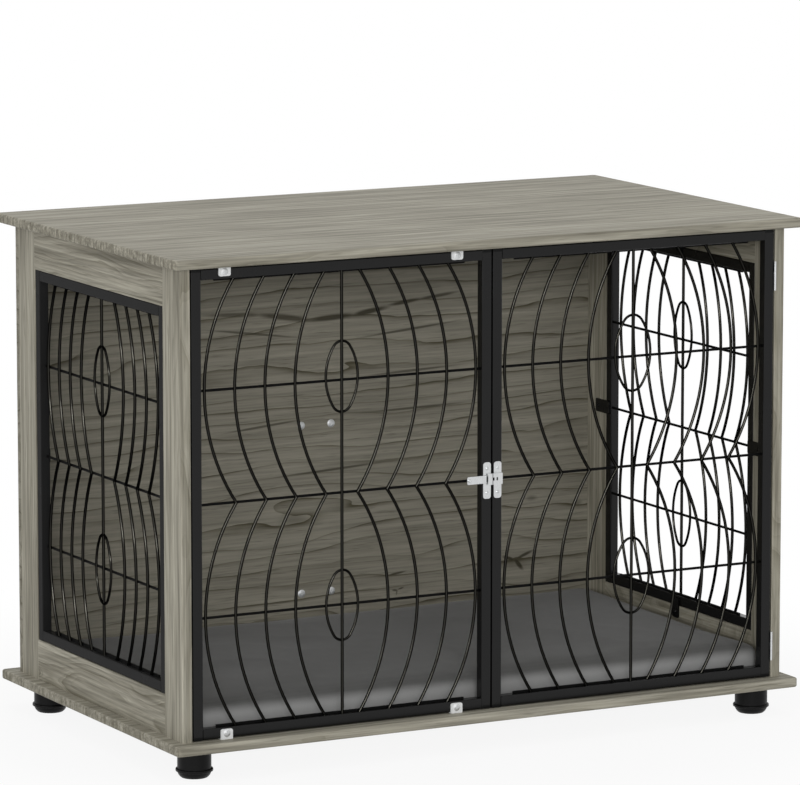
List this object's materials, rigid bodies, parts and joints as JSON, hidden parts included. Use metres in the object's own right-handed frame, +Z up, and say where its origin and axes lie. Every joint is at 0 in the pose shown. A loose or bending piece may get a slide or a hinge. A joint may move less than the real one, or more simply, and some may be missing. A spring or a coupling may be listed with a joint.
{
  "type": "pet crate",
  "caption": "Wooden end-table pet crate with curved steel wire grilles, a hinged front door with a flat slide latch, a floor cushion and round feet.",
  "frame": {"origin": "on the floor, under the middle of the top and bottom panels", "axes": "+X along the crate to the right seen from the front, +Y from the front to the back, +Z up"},
  "size_m": [1, 0.6, 0.729],
  "materials": {
    "grey_oak_panel": "grey-washed oak laminate, matt",
    "grey_oak_frame": "grey-washed oak laminate, matt",
    "grey_oak_back": "grey-washed oak laminate with knots, matt",
    "black_tube": "black powder coat on square steel tube",
    "black_wire": "black plating on round steel wire",
    "zinc_steel": "zinc-plated steel",
    "black_plastic": "moulded black plastic, satin",
    "clear_plastic": "milky translucent plastic",
    "beech_dowel": "plain beech",
    "pad_fabric": "dark grey woven cover over foam"
  },
  "bodies": {
    "root": {"back_brace": "grey_oak_back", "back_panel": "grey_oak_back", "back_panel_screws": "zinc_steel", "bottom_panel": "grey_oak_panel", "cushion": "pad_fabric", "feet": "black_plastic", "fixed_hardware_screws": "zinc_steel", "fixed_panel_bottom_rail": "black_tube", "fixed_panel_cross_bars": "black_wire", "fixed_panel_end_caps": "black_plastic", "fixed_panel_left_stile": "black_tube", "fixed_panel_right_stile": "black_tube", "fixed_panel_screws": "zinc_steel", "fixed_panel_top_rail": "black_tube", "fixed_panel_wire_strips": "black_wire", "fixed_panel_wires": "black_wire", "foot_screws": "zinc_steel", "hinge_pins": "zinc_steel", "hinge_post_leaves": "zinc_steel", "joint_dowels": "beech_dowel", "latch_guide": "zinc_steel", "left_back_stile": "grey_oak_frame", "left_bottom_rail": "grey_oak_frame", "left_front_stile": "grey_oak_frame", "left_grille_back_stile": "black_tube", "left_grille_bottom_rail": "black_tube", "left_grille_cross_bars": "black_wire", "left_grille_front_stile": "black_tube", "left_grille_tabs": "black_tube", "left_grille_top_rail": "black_tube", "left_grille_wire_strips": "black_wire", "left_grille_wires": "black_wire", "left_top_rail": "grey_oak_frame", "panel_clips": "clear_plastic", "right_back_stile": "grey_oak_frame", "right_bottom_rail": "grey_oak_frame", "right_front_stile": "grey_oak_frame", "right_grille_back_stile": "black_tube", "right_grille_bottom_rail": "black_tube", "right_grille_cross_bars": "black_wire", "right_grille_front_stile": "black_tube", "right_grille_tabs": "black_tube", "right_grille_top_rail": "black_tube", "right_grille_wire_strips": "black_wire", "right_grille_wires": "black_wire", "right_top_rail": "grey_oak_frame", "tab_screws": "black_tube", "top_panel": "grey_oak_panel"},
    "door": {"door_bottom_rail": "black_tube", "door_cross_bars": "black_wire", "door_end_caps": "black_plastic", "door_hardware_screws": "zinc_steel", "door_hinge_stile": "black_tube", "door_latch_stile": "black_tube", "door_top_rail": "black_tube", "door_wire_strips": "black_wire", "door_wires": "black_wire", "hinge_door_leaves": "zinc_steel", "latch_keeper": "zinc_steel"},
    "latch_bolt": {"latch_bolt": "zinc_steel"}
  },
  "joints": [
    {"name": "door_hinge", "type": "hinge", "parent": "root", "child": "door", "pos_m": [0.466, -0.279, 0.384], "axis": [0, 0, 1], "range_deg": [0, 180]},
    {"name": "latch_slide", "type": "slide", "parent": "root", "child": "latch_bolt", "axis": [1, 0, 0], "range_m": [0, 0.015]}
  ]
}
